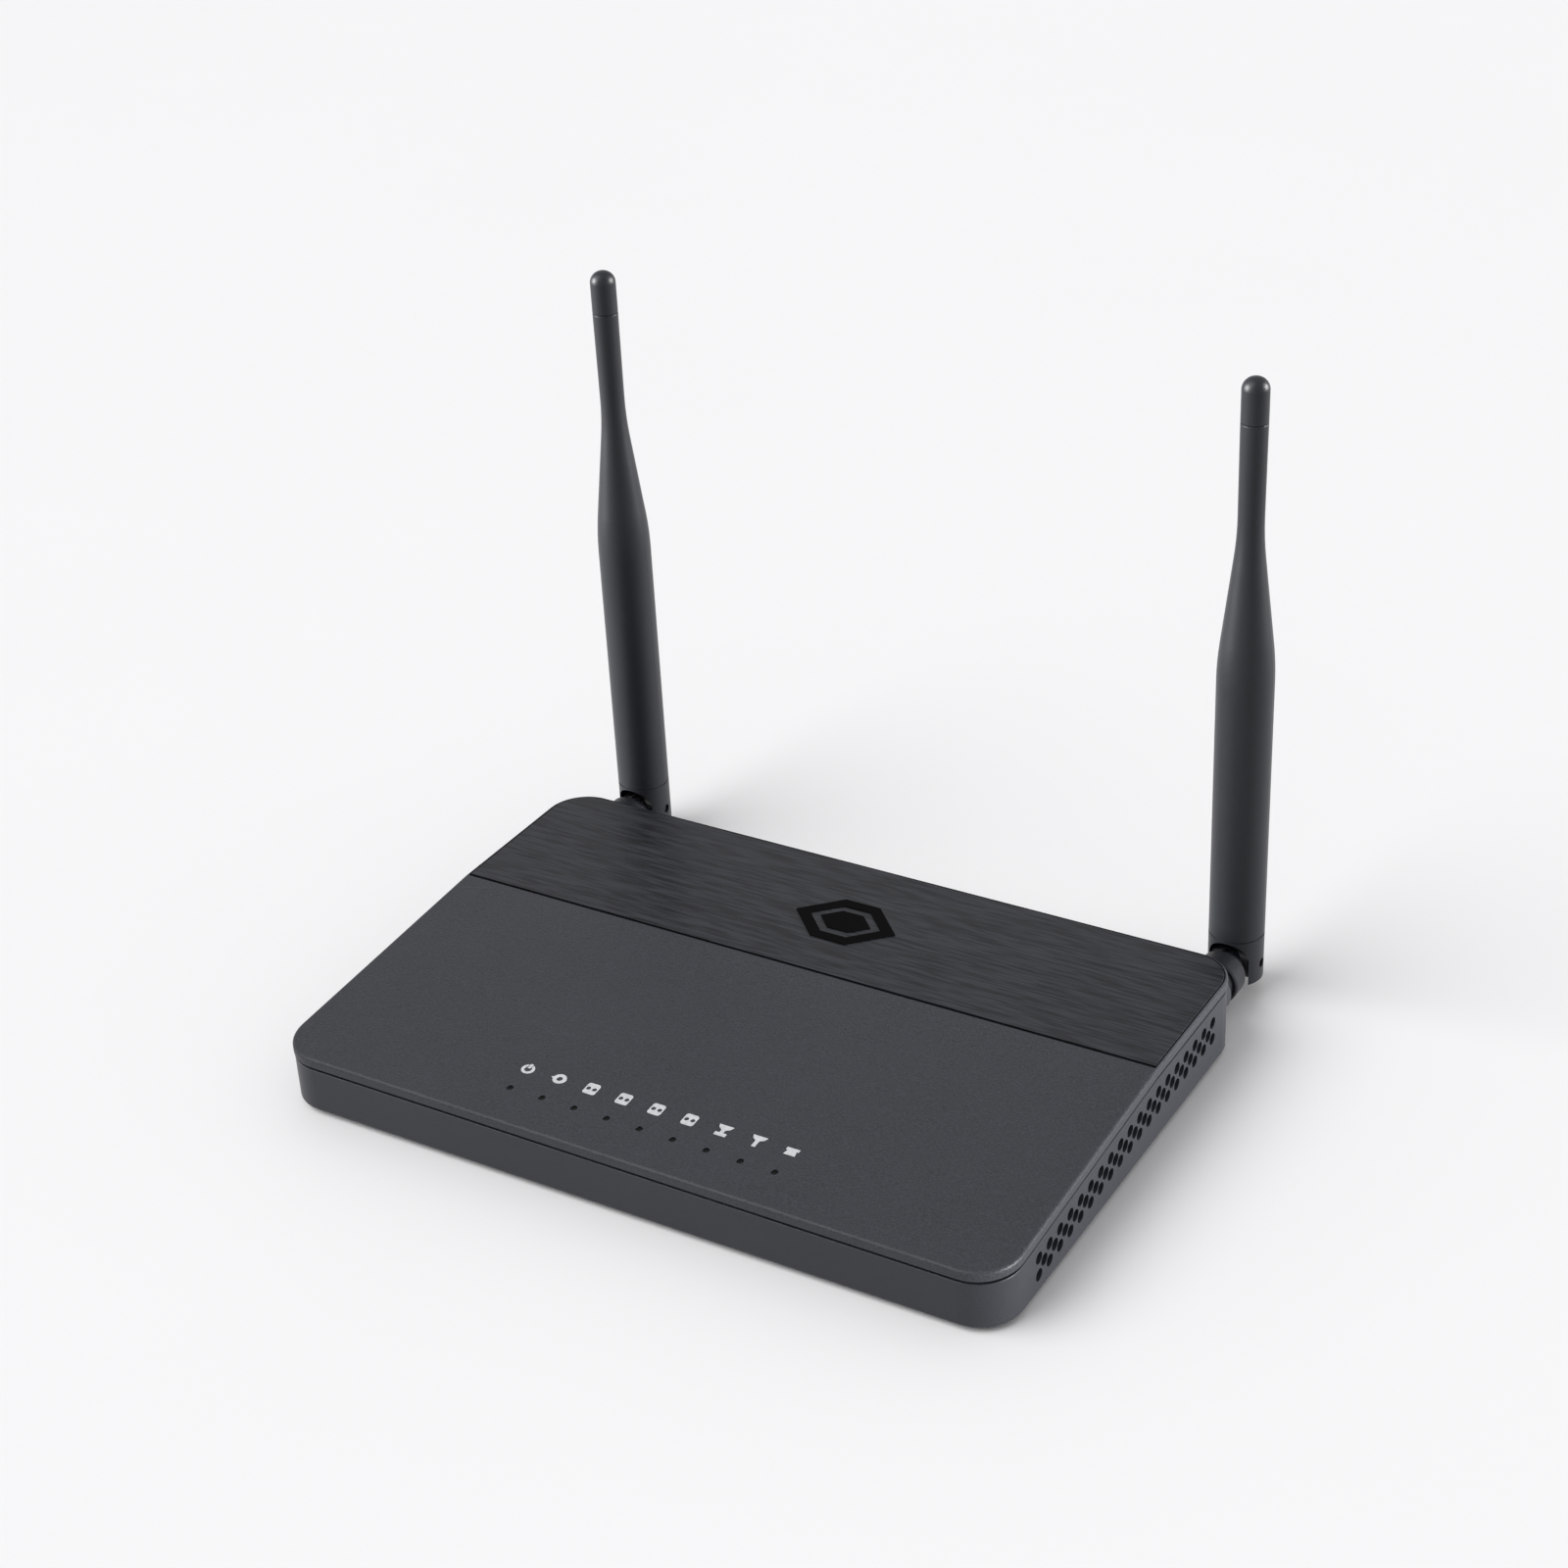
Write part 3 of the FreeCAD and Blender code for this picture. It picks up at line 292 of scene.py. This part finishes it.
def make_finishes():
    """One finish for each of the record's slots, and those of the small added pieces."""
    finishes = (
        moulded("case_plastic", (0.0160, 0.0174, 0.0212), roughness=0.42, grain=0.25 * MM,
                depth=0.014 * MM, specular=0.3),
        # The lid is the same dark plastic as the case, but its colour is set lighter than the case's as a
        # painted sheen for the soft sheen on its top.
        moulded("lid_plastic", (0.0190, 0.0206, 0.0246), roughness=0.44, grain=0.45 * MM,
                depth=0.080 * MM, specular=0.3, fleck=1.0),
        brushed_film("brushed_panel", (0.0118, 0.0128, 0.0156), roughness=0.40, specular=0.3),
        printed("mark_black", (0.0012, 0.0012, 0.0013), roughness=0.6, specular=0.03),
        printed("icon_ink", (0.44, 0.45, 0.46), roughness=0.5),
        clear_plastic("light_guide", (0.0015, 0.0015, 0.0017), roughness=0.25),
        moulded("lamp_body", (0.62, 0.6, 0.48), roughness=0.3, grain=0.4 * MM, depth=0.002 * MM),
        solder_mask("board", (0.012, 0.075, 0.03)),
        plated("screw_steel", (0.55, 0.55, 0.56), roughness=0.32),
        rubber("foot_rubber", (0.016, 0.016, 0.017)),
        plated("shield_steel", (0.62, 0.62, 0.60), roughness=0.36, grain=0.6 * MM, stretch=(0.08, 1, 1)),
        plated("sink_aluminium", (0.12, 0.12, 0.125), roughness=0.5, grain=0.3 * MM, stretch=(1, 0.06, 1)),
        moulded("chip_black", (0.018, 0.018, 0.019), roughness=0.55, grain=0.12 * MM, depth=0.006 * MM),
        moulded("capacitor_can", (0.03, 0.032, 0.06), roughness=0.3, grain=0.5 * MM, depth=0.002 * MM),
        plated("contact_gold", (0.83, 0.60, 0.26), roughness=0.22, grain=0.2 * MM, stretch=(1, 0.1, 1),
               tarnish=0.2),
        moulded("socket_plastic", (0.014, 0.014, 0.015), roughness=0.46, grain=0.18 * MM, depth=0.005 * MM),
        moulded("adapter_green", (0.018, 0.23, 0.075), roughness=0.36, grain=0.25 * MM, depth=0.004 * MM,
                wear=0.15),
        moulded("cap_plastic", (0.03, 0.031, 0.033), roughness=0.6, grain=0.25 * MM, depth=0.010 * MM),
        plated("pin_steel", (0.60, 0.60, 0.60), roughness=0.25, grain=0.3 * MM, stretch=(1, 0.1, 1),
               tarnish=0.15),
        moulded("switch_body", (0.02, 0.02, 0.021), roughness=0.4, grain=0.2 * MM, depth=0.004 * MM),
        moulded("button_plastic", (0.024, 0.025, 0.027), roughness=0.36, grain=0.2 * MM, depth=0.005 * MM),
        moulded("antenna_plastic", (0.0080, 0.0087, 0.0103), roughness=0.40, grain=0.20 * MM,
                depth=0.006 * MM, specular=0.2),
        rubber("lead_jacket", (0.02, 0.02, 0.021)),
        clear_plastic("lamp_green", (0.02, 0.11, 0.03), roughness=0.2),
        clear_plastic("lamp_amber", (0.28, 0.12, 0.015), roughness=0.2),
        printed("label", (0.50, 0.50, 0.49), roughness=0.45),
    )
    return {finish.name: finish for finish in finishes}


def dress_nodes(finishes):
    """Gives each node of the frame the finish of its slot."""
    for part in frame["record"]["subparts"]:
        mesh = frame["nodes"][part["node"]].data
        mesh.materials.clear()
        mesh.materials.append(finishes[part["material_slot"]].material)


# ---------------------------------------------------------------- small details

INK_DEPTH = 0.05 * MM
MARK_STROKE = 0.32 * MM
MARK_HALF = 1.15 * MM           # half the width of a sign
MARK_RISE = 2.6 * MM            # from the underside of the case to the middle of the signs
MARK_MIDDLE = (0, 0)
COUNT_PITCH = 1.1 * MM
JACK_COUNT = 4
LAMP_WIDTH = 1.0 * MM
LAMP_HEIGHT = 1.9 * MM
LAMP_CORNER = 0.3 * MM
LAMP_DEPTH = 0.22 * MM
LAMP_ROUNDING = 0.08 * MM
LAMP_INSET = 1.0 * MM           # from a side of the socket to the middle of its lamp
LAMP_RISE = 1.6 * MM            # from the bottom of the socket to the middle of its lamps
LABEL_WIDTH = 58 * MM
LABEL_HEIGHT = 22 * MM
LABEL_CORNER = 2 * MM
LABEL_DEPTH = 0.12 * MM
LABEL_ROUNDING = 0.03 * MM
LABEL_INSET = 17 * MM           # from the back of the rear feet to the middle of the label
CIRCLE_STEPS = 24
ARC_STEPS = 11


def prism(mesh, outline, depth):
    """Adds a closed flat solid with the given outline, from 0 up to depth."""
    low = [mesh.verts.new((x, y, 0)) for x, y in outline]
    high = [mesh.verts.new((x, y, depth)) for x, y in outline]
    mesh.faces.new(low[::-1])
    mesh.faces.new(high)
    for here in range(len(low)):
        there = (here + 1) % len(low)
        mesh.faces.new((low[here], low[there], high[there], high[here]))


def arc(centre, radius, start, end, steps=ARC_STEPS):
    """Points along an arc between two angles in degrees, with both its ends."""
    angles = [math.radians(start + (end - start) * step / steps) for step in range(steps + 1)]
    x, y = centre
    return [(x + radius * math.cos(angle), y + radius * math.sin(angle)) for angle in angles]


def circle(centre, radius):
    return arc(centre, radius, 0, 360, CIRCLE_STEPS)[:-1]


def bar(x, y, width, height):
    return [(x - width / 2, y - height / 2), (x + width / 2, y - height / 2),
            (x + width / 2, y + height / 2), (x - width / 2, y + height / 2)]


def rounded_bar(width, height, radius):
    """A rectangle about the origin with round corners."""
    points = []
    for side, end, start in ((1, 1, 0), (-1, 1, 90), (-1, -1, 180), (1, -1, 270)):
        centre = (side * (width / 2 - radius), end * (height / 2 - radius))
        points += arc(centre, radius, start, start + 90)
    return points


def arc_band(centre, radius, start, end):
    """The outline of a stroke along an arc."""
    outer = arc(centre, radius, start, end)
    inner = arc(centre, radius - MARK_STROKE, start, end)
    return outer + inner[::-1]


def power_mark():
    """A ring, open at the top, with a stroke in the gap."""
    return [arc_band(MARK_MIDDLE, MARK_HALF, 125, 415), bar(0, MARK_HALF * 0.55, MARK_STROKE, MARK_HALF)]


def supply_mark():
    """A dot in a ring that is open at the right, for a coaxial plug."""
    return [arc_band(MARK_MIDDLE, MARK_HALF, 60, 300), circle(MARK_MIDDLE, MARK_STROKE)]


def fibre_mark():
    """A dot with three arcs around it, for light."""
    arcs = [arc_band(MARK_MIDDLE, MARK_HALF, middle - 40, middle + 40) for middle in (90, 210, 330)]
    return [circle(MARK_MIDDLE, MARK_HALF * 0.34), *arcs]


def waves_mark():
    """A dot under two bows, for the wireless link."""
    foot = (0, -MARK_HALF * 0.8)
    bows = [arc_band(foot, MARK_HALF * size, 45, 135) for size in (1, 1.75)]
    return [circle(foot, MARK_STROKE * 0.8), *bows]


def reset_mark():
    """A ring that is open at the bottom."""
    return [arc_band(MARK_MIDDLE, MARK_HALF * 0.8, -40, 260)]


def phone_mark():
    """A telephone: a body that widens downwards, under its handset."""
    body = [(-0.75, -0.8), (0.75, -0.8), (0.5, 0.2), (-0.5, 0.2)]
    return [[(x * MARK_HALF, y * MARK_HALF) for x, y in body],
            bar(0, MARK_HALF * 0.65, 2 * MARK_HALF, MARK_STROKE * 1.4)]


def count_mark(count):
    """Dots in a row, as many as the place of the socket in its row."""
    return [circle(((number - (count - 1) / 2) * COUNT_PITCH, 0), MARK_STROKE) for number in range(count)]


def make_piece(name, outlines, depth, place, finish, rounding=0.0):
    """Makes one piece from flat outlines, sets it on the case and dresses it."""
    mesh = bmesh.new()
    for outline in outlines:
        prism(mesh, outline, depth)
    if rounding:
        top = [edge for edge in mesh.edges if all(vertex.co.z > depth / 2 for vertex in edge.verts)]
        bmesh.ops.bevel(mesh, geom=top, offset=rounding, segments=3, affect="EDGES", profile=0.5)
    bmesh.ops.recalc_face_normals(mesh, faces=mesh.faces)
    bmesh.ops.transform(mesh, matrix=place, verts=mesh.verts)
    data = bpy.data.meshes.new(name)
    mesh.to_mesh(data)
    mesh.free()
    data.materials.append(finish.material)
    piece = bpy.data.objects.new(name, data)
    bpy.context.scene.collection.objects.link(piece)
    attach(piece, "root")


def middle_x(node):
    low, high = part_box(node)
    return (low[0] + high[0]) / 2


def on_back(x, z):
    """Turns a flat shape to face backwards, upright as seen from behind, in the plane of the sockets."""
    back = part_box("lan_jack_1")[1][1]
    turn = Matrix(((-1, 0, 0), (0, 0, 1), (0, 1, 0))).to_4x4()
    return Matrix.Translation((x, back, z)) @ turn


def make_port_marks(finishes):
    """Small printed signs on the back wall, one under each socket and button."""
    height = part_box("bottom_housing")[0][2] + MARK_RISE
    marks = {"power_inlet": supply_mark(), "power_button": power_mark(), "phone_jack": phone_mark(),
             "optical_adapter": fibre_mark(), "wps_button": waves_mark(), "reset_button": reset_mark()}
    for number in range(1, JACK_COUNT + 1):
        marks["lan_jack_%d" % number] = count_mark(number)
    for node, outlines in marks.items():
        place = on_back(middle_x(node), height)
        make_piece("mark_" + node, outlines, INK_DEPTH, place, finishes["icon_ink"])


def make_jack_lamps(finishes):
    """Two small tinted windows in the lower corners of each network socket."""
    window = rounded_bar(LAMP_WIDTH, LAMP_HEIGHT, LAMP_CORNER)
    for number in range(1, JACK_COUNT + 1):
        node = "lan_jack_%d" % number
        low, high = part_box(node)
        reach = (high[0] - low[0]) / 2 - LAMP_INSET
        for side, colour in ((-1, "lamp_green"), (1, "lamp_amber")):
            place = on_back(middle_x(node) + side * reach, low[2] + LAMP_RISE)
            make_piece("%s_%d" % (colour, number), [window], LAMP_DEPTH, place, finishes[colour],
                       LAMP_ROUNDING)


def make_label(finishes):
    """A blank rating label on the underside, near the rear feet."""
    feet_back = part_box("rubber_feet")[1][1]
    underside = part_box("bottom_housing")[0][2]
    turn = Matrix(((1, 0, 0), (0, -1, 0), (0, 0, -1))).to_4x4()
    place = Matrix.Translation((0, feet_back - LABEL_INSET, underside)) @ turn
    outline = rounded_bar(LABEL_WIDTH, LABEL_HEIGHT, LABEL_CORNER)
    make_piece("underside_label", [outline], LABEL_DEPTH, place, finishes["label"],
               LABEL_ROUNDING)


# ---------------------------------------------------------------- stage

FLOOR_SIZE = 60
# Heights above the horizon, from 0 to 1 overhead, each with the surround's brightness there.
SKY = ((0.0, 1.0), (0.12, 0.95), (0.42, 0.55), (1.0, 0.62))
SKY_BLUE = 1.01
ROOF_NODES = ("top_cover", "brushed_top_panel", "badge", "indicator_icons", "light_guides")
CAMERA_PLACE = (0.32659, -0.52092, 0.42453)
CAMERA_AZIMUTH = 31.96          # degrees, like the next two
CAMERA_ELEVATION = 30.22
CAMERA_ROLL = -3.15


def make_floor():
    bpy.ops.mesh.primitive_plane_add(size=FLOOR_SIZE)
    floor = bpy.context.object
    floor.name = "floor"
    cloud_scale, dark_shade, pale_shade = 4, 0.99, 1.0
    shader = Shader("floor", (0.86, 0.86, 0.865), roughness=0.55, specular=0.3)
    cloud = shader.noise(cloud_scale, detail=3)
    shader.paint(shader.mix(shader.span(cloud), dark_shade, pale_shade))
    floor.data.materials.append(shader.material)


def make_world():
    """A pale surround, brightest at the horizon and dimmer above it."""
    world = bpy.data.worlds.new("studio")
    bpy.context.scene.world = world
    world.use_nodes = True
    tree = world.node_tree
    background = tree.nodes["Background"]
    background.inputs["Strength"].default_value = 1.0
    coordinates = tree.nodes.new("ShaderNodeTexCoord")
    split = tree.nodes.new("ShaderNodeSeparateXYZ")
    ramp = tree.nodes.new("ShaderNodeValToRGB")
    tree.links.new(coordinates.outputs["Generated"], split.inputs[0])
    tree.links.new(split.outputs["Z"], ramp.inputs["Fac"])
    tree.links.new(ramp.outputs["Color"], background.inputs["Color"])
    while len(ramp.color_ramp.elements) < len(SKY):
        ramp.color_ramp.elements.new(0.5)
    for element, (height, level) in zip(ramp.color_ramp.elements, SKY):
        element.position = height
        element.color = (level, level, level * SKY_BLUE, 1)


def make_sun(name, direction, strength, spread, only=None):
    """A very wide, soft light from far away. It may be kept to one collection, clear of the floor."""
    lamp = bpy.data.lights.new(name, "SUN")
    lamp.energy = strength
    lamp.angle = math.radians(spread)
    holder = bpy.data.objects.new(name, lamp)
    bpy.context.scene.collection.objects.link(holder)
    holder.location = direction
    holder.rotation_mode = "QUATERNION"
    holder.rotation_quaternion = (-Vector(direction)).to_track_quat("-Z", "Y")
    if only:
        holder.light_linking.receiver_collection = only


def make_lights():
    """A key light from the front left, and side lights that reach only the object.

    The left one leaves out the roof, where it would glare in low views from the right.
    """
    antennas = bpy.data.collections.new("antennas_lit")
    case = bpy.data.collections.new("case_lit")
    walls = bpy.data.collections.new("walls_lit")
    for thing in bpy.context.scene.objects:
        if thing.type != "MESH" or thing.name == "floor":
            continue
        if thing.name.startswith(("antenna_", "hinge_")):
            antennas.objects.link(thing)
            continue
        case.objects.link(thing)
        if thing.name not in ROOF_NODES:
            walls.objects.link(thing)
    make_sun("key", (-0.48, -0.48, 0.73), strength=2.1, spread=50)
    make_sun("case_right", (1.0, 0.12, 0.10), strength=10.0, spread=30, only=case)
    make_sun("case_left", (-1.0, -0.25, 0.15), strength=2.5, spread=46, only=walls)
    make_sun("antennas_left", (-0.848, -0.53, 0.25), strength=14.0, spread=34, only=antennas)
    make_sun("antennas_right", (0.848, 0.53, 0.25), strength=9.5, spread=28, only=antennas)


def make_camera():
    """The camera stands in front, to the right and above, and leans a little to one side."""
    azimuth = math.radians(CAMERA_AZIMUTH)
    elevation = math.radians(CAMERA_ELEVATION)
    roll = math.radians(CAMERA_ROLL)
    level = Vector((math.cos(azimuth), math.sin(azimuth), 0))
    flat = math.cos(elevation)
    forward = Vector((-math.sin(azimuth) * flat, math.cos(azimuth) * flat, -math.sin(elevation)))
    upright = level.cross(forward)
    right = level * math.cos(roll) + upright * math.sin(roll)
    up = upright * math.cos(roll) - level * math.sin(roll)
    lens = bpy.data.cameras.new("camera")
    lens.lens = 67.42
    lens.sensor_width = 36.0
    lens.shift_y = 0.02
    lens.clip_start = 0.01
    lens.clip_end = 100
    camera = bpy.data.objects.new("camera", lens)
    bpy.context.scene.collection.objects.link(camera)
    turn = Matrix((right, up, -forward)).transposed().to_4x4()
    camera.matrix_world = Matrix.Translation(CAMERA_PLACE) @ turn
    bpy.context.scene.camera = camera


bpy.context.scene.view_settings.view_transform = "Standard"
finishes = make_finishes()
dress_nodes(finishes)
make_port_marks(finishes)
make_jack_lamps(finishes)
make_label(finishes)
make_floor()
make_world()
make_lights()
make_camera()
